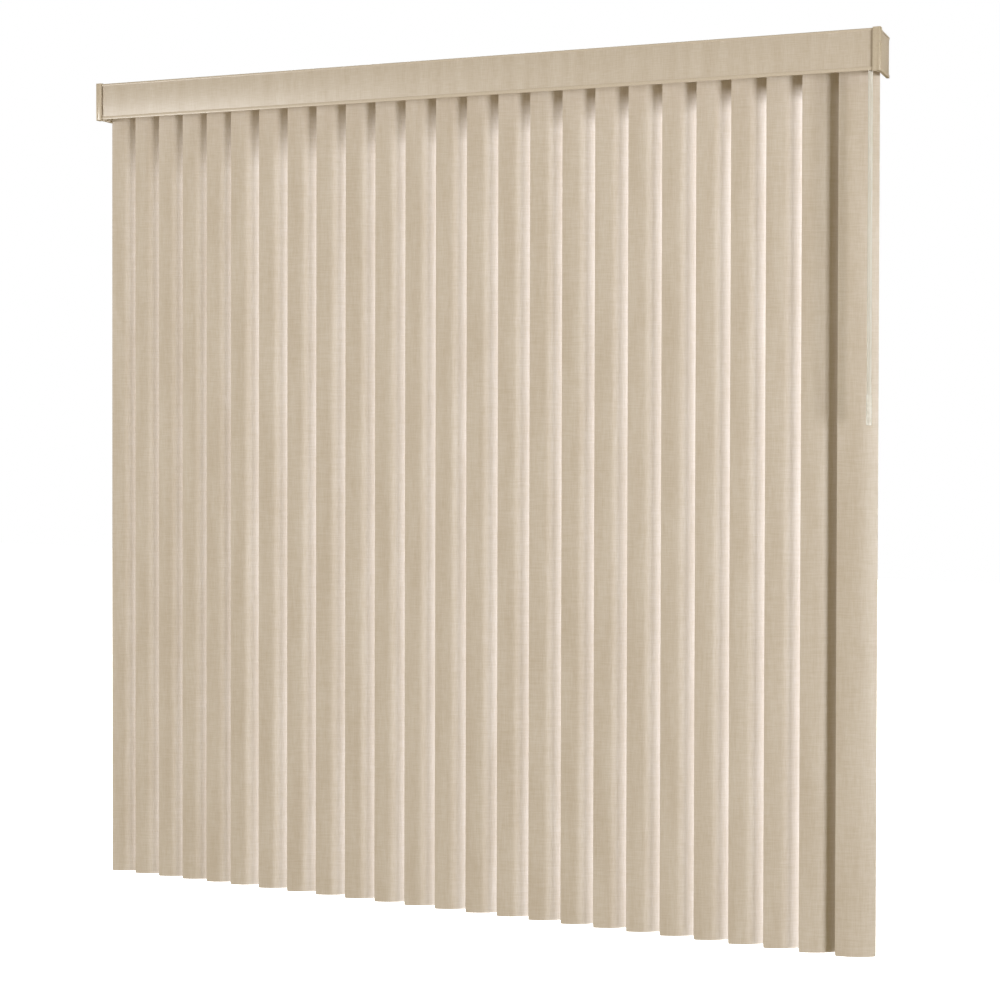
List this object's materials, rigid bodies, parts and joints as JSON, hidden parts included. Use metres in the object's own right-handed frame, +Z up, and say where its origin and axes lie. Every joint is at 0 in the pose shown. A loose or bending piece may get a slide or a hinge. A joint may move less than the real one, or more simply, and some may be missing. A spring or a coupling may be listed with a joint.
{
  "type": "vertical blind",
  "caption": "Wide vertical blind: curved beige vanes hang from wheeled carriers in a track behind a boxed valance, with a tilt wand at the right.",
  "frame": {"origin": "on the wall, in the middle of the four brackets' screw slots", "axes": "+X along the track to the right as seen from the room, -Y out from the wall into the room, +Z up"},
  "size_m": [1.981, 0.1217, 2.0167],
  "materials": {
    "vane_vinyl": "soft satin vinyl embossed like linen",
    "valance_plastic": "satin",
    "rail_enamel": "ivory enamel",
    "cap_plastic": "satin",
    "rod_aluminium": "mill",
    "bracket_steel": "zinc plated",
    "clip_plastic": "satin",
    "carrier_plastic": "satin moulded acetal",
    "wand_plastic": "polished, milky clear"
  },
  "bodies": {
    "headrail": {"headrail": "rail_enamel", "end_caps": "cap_plastic", "wall_brackets": "bracket_steel", "valance_rail": "valance_plastic", "valance_inserts": "vane_vinyl", "valance_corners": "valance_plastic", "valance_clips": "clip_plastic", "carrier_01": "carrier_plastic"},
    "tilt_rod": {"tilt_rod": "rod_aluminium"},
    "carrier_02": {"carrier_02": "carrier_plastic"},
    "carrier_03": {"carrier_03": "carrier_plastic"},
    "carrier_04": {"carrier_04": "carrier_plastic"},
    "carrier_05": {"carrier_05": "carrier_plastic"},
    "carrier_06": {"carrier_06": "carrier_plastic"},
    "carrier_07": {"carrier_07": "carrier_plastic"},
    "carrier_08": {"carrier_08": "carrier_plastic"},
    "carrier_09": {"carrier_09": "carrier_plastic"},
    "carrier_10": {"carrier_10": "carrier_plastic"},
    "carrier_11": {"carrier_11": "carrier_plastic"},
    "carrier_12": {"carrier_12": "carrier_plastic"},
    "carrier_13": {"carrier_13": "carrier_plastic"},
    "carrier_14": {"carrier_14": "carrier_plastic"},
    "carrier_15": {"carrier_15": "carrier_plastic"},
    "carrier_16": {"carrier_16": "carrier_plastic"},
    "carrier_17": {"carrier_17": "carrier_plastic"},
    "carrier_18": {"carrier_18": "carrier_plastic"},
    "carrier_19": {"carrier_19": "carrier_plastic"},
    "carrier_20": {"carrier_20": "carrier_plastic"},
    "carrier_21": {"carrier_21": "carrier_plastic"},
    "carrier_22": {"carrier_22": "carrier_plastic"},
    "carrier_23": {"carrier_23": "carrier_plastic"},
    "carrier_24": {"carrier_24": "carrier_plastic"},
    "lead_carrier": {"lead_carrier": "carrier_plastic"},
    "vane_01": {"vane_01": "vane_vinyl"},
    "vane_02": {"vane_02": "vane_vinyl"},
    "vane_03": {"vane_03": "vane_vinyl"},
    "vane_04": {"vane_04": "vane_vinyl"},
    "vane_05": {"vane_05": "vane_vinyl"},
    "vane_06": {"vane_06": "vane_vinyl"},
    "vane_07": {"vane_07": "vane_vinyl"},
    "vane_08": {"vane_08": "vane_vinyl"},
    "vane_09": {"vane_09": "vane_vinyl"},
    "vane_10": {"vane_10": "vane_vinyl"},
    "vane_11": {"vane_11": "vane_vinyl"},
    "vane_12": {"vane_12": "vane_vinyl"},
    "vane_13": {"vane_13": "vane_vinyl"},
    "vane_14": {"vane_14": "vane_vinyl"},
    "vane_15": {"vane_15": "vane_vinyl"},
    "vane_16": {"vane_16": "vane_vinyl"},
    "vane_17": {"vane_17": "vane_vinyl"},
    "vane_18": {"vane_18": "vane_vinyl"},
    "vane_19": {"vane_19": "vane_vinyl"},
    "vane_20": {"vane_20": "vane_vinyl"},
    "vane_21": {"vane_21": "vane_vinyl"},
    "vane_22": {"vane_22": "vane_vinyl"},
    "vane_23": {"vane_23": "vane_vinyl"},
    "vane_24": {"vane_24": "vane_vinyl"},
    "vane_25": {"vane_25": "vane_vinyl"},
    "wand_hook": {"wand_hook": "wand_plastic"},
    "wand": {"wand": "wand_plastic"}
  },
  "joints": [
    {"name": "traverse", "type": "slide", "parent": "headrail", "child": "lead_carrier", "axis": [-1, 0, 0], "range_m": [0, 1.512]},
    {"name": "carrier_slide_02", "type": "slide", "parent": "headrail", "child": "carrier_02", "axis": [-1, 0, 0], "range_m": [0, 0.056]},
    {"name": "carrier_slide_03", "type": "slide", "parent": "headrail", "child": "carrier_03", "axis": [-1, 0, 0], "range_m": [0, 0.112]},
    {"name": "carrier_slide_04", "type": "slide", "parent": "headrail", "child": "carrier_04", "axis": [-1, 0, 0], "range_m": [0, 0.168]},
    {"name": "carrier_slide_05", "type": "slide", "parent": "headrail", "child": "carrier_05", "axis": [-1, 0, 0], "range_m": [0, 0.224]},
    {"name": "carrier_slide_06", "type": "slide", "parent": "headrail", "child": "carrier_06", "axis": [-1, 0, 0], "range_m": [0, 0.28]},
    {"name": "carrier_slide_07", "type": "slide", "parent": "headrail", "child": "carrier_07", "axis": [-1, 0, 0], "range_m": [0, 0.346]},
    {"name": "carrier_slide_08", "type": "slide", "parent": "headrail", "child": "carrier_08", "axis": [-1, 0, 0], "range_m": [0, 0.412]},
    {"name": "carrier_slide_09", "type": "slide", "parent": "headrail", "child": "carrier_09", "axis": [-1, 0, 0], "range_m": [0, 0.478]},
    {"name": "carrier_slide_10", "type": "slide", "parent": "headrail", "child": "carrier_10", "axis": [-1, 0, 0], "range_m": [0, 0.544]},
    {"name": "carrier_slide_11", "type": "slide", "parent": "headrail", "child": "carrier_11", "axis": [-1, 0, 0], "range_m": [0, 0.61]},
    {"name": "carrier_slide_12", "type": "slide", "parent": "headrail", "child": "carrier_12", "axis": [-1, 0, 0], "range_m": [0, 0.676]},
    {"name": "carrier_slide_13", "type": "slide", "parent": "headrail", "child": "carrier_13", "axis": [-1, 0, 0], "range_m": [0, 0.742]},
    {"name": "carrier_slide_14", "type": "slide", "parent": "headrail", "child": "carrier_14", "axis": [-1, 0, 0], "range_m": [0, 0.808]},
    {"name": "carrier_slide_15", "type": "slide", "parent": "headrail", "child": "carrier_15", "axis": [-1, 0, 0], "range_m": [0, 0.874]},
    {"name": "carrier_slide_16", "type": "slide", "parent": "headrail", "child": "carrier_16", "axis": [-1, 0, 0], "range_m": [0, 0.94]},
    {"name": "carrier_slide_17", "type": "slide", "parent": "headrail", "child": "carrier_17", "axis": [-1, 0, 0], "range_m": [0, 1.006]},
    {"name": "carrier_slide_18", "type": "slide", "parent": "headrail", "child": "carrier_18", "axis": [-1, 0, 0], "range_m": [0, 1.072]},
    {"name": "carrier_slide_19", "type": "slide", "parent": "headrail", "child": "carrier_19", "axis": [-1, 0, 0], "range_m": [0, 1.138]},
    {"name": "carrier_slide_20", "type": "slide", "parent": "headrail", "child": "carrier_20", "axis": [-1, 0, 0], "range_m": [0, 1.204]},
    {"name": "carrier_slide_21", "type": "slide", "parent": "headrail", "child": "carrier_21", "axis": [-1, 0, 0], "range_m": [0, 1.27]},
    {"name": "carrier_slide_22", "type": "slide", "parent": "headrail", "child": "carrier_22", "axis": [-1, 0, 0], "range_m": [0, 1.336]},
    {"name": "carrier_slide_23", "type": "slide", "parent": "headrail", "child": "carrier_23", "axis": [-1, 0, 0], "range_m": [0, 1.402]},
    {"name": "carrier_slide_24", "type": "slide", "parent": "headrail", "child": "carrier_24", "axis": [-1, 0, 0], "range_m": [0, 1.468]},
    {"name": "tilt", "type": "hinge", "parent": "lead_carrier", "child": "vane_25", "pos_m": [0.935, -0.05, 0], "axis": [0, 0, 1], "range_deg": [-5, 135]},
    {"name": "vane_tilt_01", "type": "hinge", "parent": "headrail", "child": "vane_01", "pos_m": [-0.935, -0.05, 0], "axis": [0, 0, 1], "range_deg": [-5, 135]},
    {"name": "vane_tilt_02", "type": "hinge", "parent": "carrier_02", "child": "vane_02", "pos_m": [-0.865, -0.05, 0], "axis": [0, 0, 1], "range_deg": [-5, 135]},
    {"name": "vane_tilt_03", "type": "hinge", "parent": "carrier_03", "child": "vane_03", "pos_m": [-0.795, -0.05, 0], "axis": [0, 0, 1], "range_deg": [-5, 135]},
    {"name": "vane_tilt_04", "type": "hinge", "parent": "carrier_04", "child": "vane_04", "pos_m": [-0.725, -0.05, 0], "axis": [0, 0, 1], "range_deg": [-5, 135]},
    {"name": "vane_tilt_05", "type": "hinge", "parent": "carrier_05", "child": "vane_05", "pos_m": [-0.655, -0.05, 0], "axis": [0, 0, 1], "range_deg": [-5, 135]},
    {"name": "vane_tilt_06", "type": "hinge", "parent": "carrier_06", "child": "vane_06", "pos_m": [-0.585, -0.05, 0], "axis": [0, 0, 1], "range_deg": [-5, 135]},
    {"name": "vane_tilt_07", "type": "hinge", "parent": "carrier_07", "child": "vane_07", "pos_m": [-0.505, -0.05, 0], "axis": [0, 0, 1], "range_deg": [-5, 135]},
    {"name": "vane_tilt_08", "type": "hinge", "parent": "carrier_08", "child": "vane_08", "pos_m": [-0.425, -0.05, 0], "axis": [0, 0, 1], "range_deg": [-5, 135]},
    {"name": "vane_tilt_09", "type": "hinge", "parent": "carrier_09", "child": "vane_09", "pos_m": [-0.345, -0.05, 0], "axis": [0, 0, 1], "range_deg": [-5, 135]},
    {"name": "vane_tilt_10", "type": "hinge", "parent": "carrier_10", "child": "vane_10", "pos_m": [-0.265, -0.05, 0], "axis": [0, 0, 1], "range_deg": [-5, 135]},
    {"name": "vane_tilt_11", "type": "hinge", "parent": "carrier_11", "child": "vane_11", "pos_m": [-0.185, -0.05, 0], "axis": [0, 0, 1], "range_deg": [-5, 135]},
    {"name": "vane_tilt_12", "type": "hinge", "parent": "carrier_12", "child": "vane_12", "pos_m": [-0.105, -0.05, 0], "axis": [0, 0, 1], "range_deg": [-5, 135]},
    {"name": "vane_tilt_13", "type": "hinge", "parent": "carrier_13", "child": "vane_13", "pos_m": [-0.025, -0.05, 0], "axis": [0, 0, 1], "range_deg": [-5, 135]},
    {"name": "vane_tilt_14", "type": "hinge", "parent": "carrier_14", "child": "vane_14", "pos_m": [0.055, -0.05, 0], "axis": [0, 0, 1], "range_deg": [-5, 135]},
    {"name": "vane_tilt_15", "type": "hinge", "parent": "carrier_15", "child": "vane_15", "pos_m": [0.135, -0.05, 0], "axis": [0, 0, 1], "range_deg": [-5, 135]},
    {"name": "vane_tilt_16", "type": "hinge", "parent": "carrier_16", "child": "vane_16", "pos_m": [0.215, -0.05, 0], "axis": [0, 0, 1], "range_deg": [-5, 135]},
    {"name": "vane_tilt_17", "type": "hinge", "parent": "carrier_17", "child": "vane_17", "pos_m": [0.295, -0.05, 0], "axis": [0, 0, 1], "range_deg": [-5, 135]},
    {"name": "vane_tilt_18", "type": "hinge", "parent": "carrier_18", "child": "vane_18", "pos_m": [0.375, -0.05, 0], "axis": [0, 0, 1], "range_deg": [-5, 135]},
    {"name": "vane_tilt_19", "type": "hinge", "parent": "carrier_19", "child": "vane_19", "pos_m": [0.455, -0.05, 0], "axis": [0, 0, 1], "range_deg": [-5, 135]},
    {"name": "vane_tilt_20", "type": "hinge", "parent": "carrier_20", "child": "vane_20", "pos_m": [0.535, -0.05, 0], "axis": [0, 0, 1], "range_deg": [-5, 135]},
    {"name": "vane_tilt_21", "type": "hinge", "parent": "carrier_21", "child": "vane_21", "pos_m": [0.615, -0.05, 0], "axis": [0, 0, 1], "range_deg": [-5, 135]},
    {"name": "vane_tilt_22", "type": "hinge", "parent": "carrier_22", "child": "vane_22", "pos_m": [0.695, -0.05, 0], "axis": [0, 0, 1], "range_deg": [-5, 135]},
    {"name": "vane_tilt_23", "type": "hinge", "parent": "carrier_23", "child": "vane_23", "pos_m": [0.775, -0.05, 0], "axis": [0, 0, 1], "range_deg": [-5, 135]},
    {"name": "vane_tilt_24", "type": "hinge", "parent": "carrier_24", "child": "vane_24", "pos_m": [0.855, -0.05, 0], "axis": [0, 0, 1], "range_deg": [-5, 135]},
    {"name": "rod_turn", "type": "hinge", "parent": "headrail", "child": "tilt_rod", "pos_m": [0, -0.041, -0.0015], "axis": [1, 0, 0], "range_deg": [-20, 540]},
    {"name": "wand_swing", "type": "hinge", "parent": "lead_carrier", "child": "wand_hook", "pos_m": [0.9665, -0.1045, -0.0315], "axis": [0, 1, 0], "range_deg": [-8, 40]},
    {"name": "wand_twist", "type": "hinge", "parent": "wand_hook", "child": "wand", "pos_m": [0.9665, -0.1045, -0.05], "axis": [0, 0, 1], "range_deg": [-20, 540]}
  ],
  "couplings": [
    {"joint": "carrier_slide_02", "follows": "traverse", "ratio": 0.037037},
    {"joint": "carrier_slide_03", "follows": "traverse", "ratio": 0.074074},
    {"joint": "carrier_slide_04", "follows": "traverse", "ratio": 0.11111},
    {"joint": "carrier_slide_05", "follows": "traverse", "ratio": 0.14815},
    {"joint": "carrier_slide_06", "follows": "traverse", "ratio": 0.18518},
    {"joint": "carrier_slide_07", "follows": "traverse", "ratio": 0.22884},
    {"joint": "carrier_slide_08", "follows": "traverse", "ratio": 0.27249},
    {"joint": "carrier_slide_09", "follows": "traverse", "ratio": 0.31614},
    {"joint": "carrier_slide_10", "follows": "traverse", "ratio": 0.35979},
    {"joint": "carrier_slide_11", "follows": "traverse", "ratio": 0.40344},
    {"joint": "carrier_slide_12", "follows": "traverse", "ratio": 0.44709},
    {"joint": "carrier_slide_13", "follows": "traverse", "ratio": 0.49074},
    {"joint": "carrier_slide_14", "follows": "traverse", "ratio": 0.53439},
    {"joint": "carrier_slide_15", "follows": "traverse", "ratio": 0.57804},
    {"joint": "carrier_slide_16", "follows": "traverse", "ratio": 0.62169},
    {"joint": "carrier_slide_17", "follows": "traverse", "ratio": 0.66534},
    {"joint": "carrier_slide_18", "follows": "traverse", "ratio": 0.709},
    {"joint": "carrier_slide_19", "follows": "traverse", "ratio": 0.75265},
    {"joint": "carrier_slide_20", "follows": "traverse", "ratio": 0.7963},
    {"joint": "carrier_slide_21", "follows": "traverse", "ratio": 0.83995},
    {"joint": "carrier_slide_22", "follows": "traverse", "ratio": 0.8836},
    {"joint": "carrier_slide_23", "follows": "traverse", "ratio": 0.92725},
    {"joint": "carrier_slide_24", "follows": "traverse", "ratio": 0.9709},
    {"joint": "vane_tilt_01", "follows": "tilt", "ratio": 1},
    {"joint": "vane_tilt_02", "follows": "tilt", "ratio": 1},
    {"joint": "vane_tilt_03", "follows": "tilt", "ratio": 1},
    {"joint": "vane_tilt_04", "follows": "tilt", "ratio": 1},
    {"joint": "vane_tilt_05", "follows": "tilt", "ratio": 1},
    {"joint": "vane_tilt_06", "follows": "tilt", "ratio": 1},
    {"joint": "vane_tilt_07", "follows": "tilt", "ratio": 1},
    {"joint": "vane_tilt_08", "follows": "tilt", "ratio": 1},
    {"joint": "vane_tilt_09", "follows": "tilt", "ratio": 1},
    {"joint": "vane_tilt_10", "follows": "tilt", "ratio": 1},
    {"joint": "vane_tilt_11", "follows": "tilt", "ratio": 1},
    {"joint": "vane_tilt_12", "follows": "tilt", "ratio": 1},
    {"joint": "vane_tilt_13", "follows": "tilt", "ratio": 1},
    {"joint": "vane_tilt_14", "follows": "tilt", "ratio": 1},
    {"joint": "vane_tilt_15", "follows": "tilt", "ratio": 1},
    {"joint": "vane_tilt_16", "follows": "tilt", "ratio": 1},
    {"joint": "vane_tilt_17", "follows": "tilt", "ratio": 1},
    {"joint": "vane_tilt_18", "follows": "tilt", "ratio": 1},
    {"joint": "vane_tilt_19", "follows": "tilt", "ratio": 1},
    {"joint": "vane_tilt_20", "follows": "tilt", "ratio": 1},
    {"joint": "vane_tilt_21", "follows": "tilt", "ratio": 1},
    {"joint": "vane_tilt_22", "follows": "tilt", "ratio": 1},
    {"joint": "vane_tilt_23", "follows": "tilt", "ratio": 1},
    {"joint": "vane_tilt_24", "follows": "tilt", "ratio": 1},
    {"joint": "rod_turn", "follows": "tilt", "ratio": 4},
    {"joint": "wand_twist", "follows": "tilt", "ratio": 4}
  ]
}
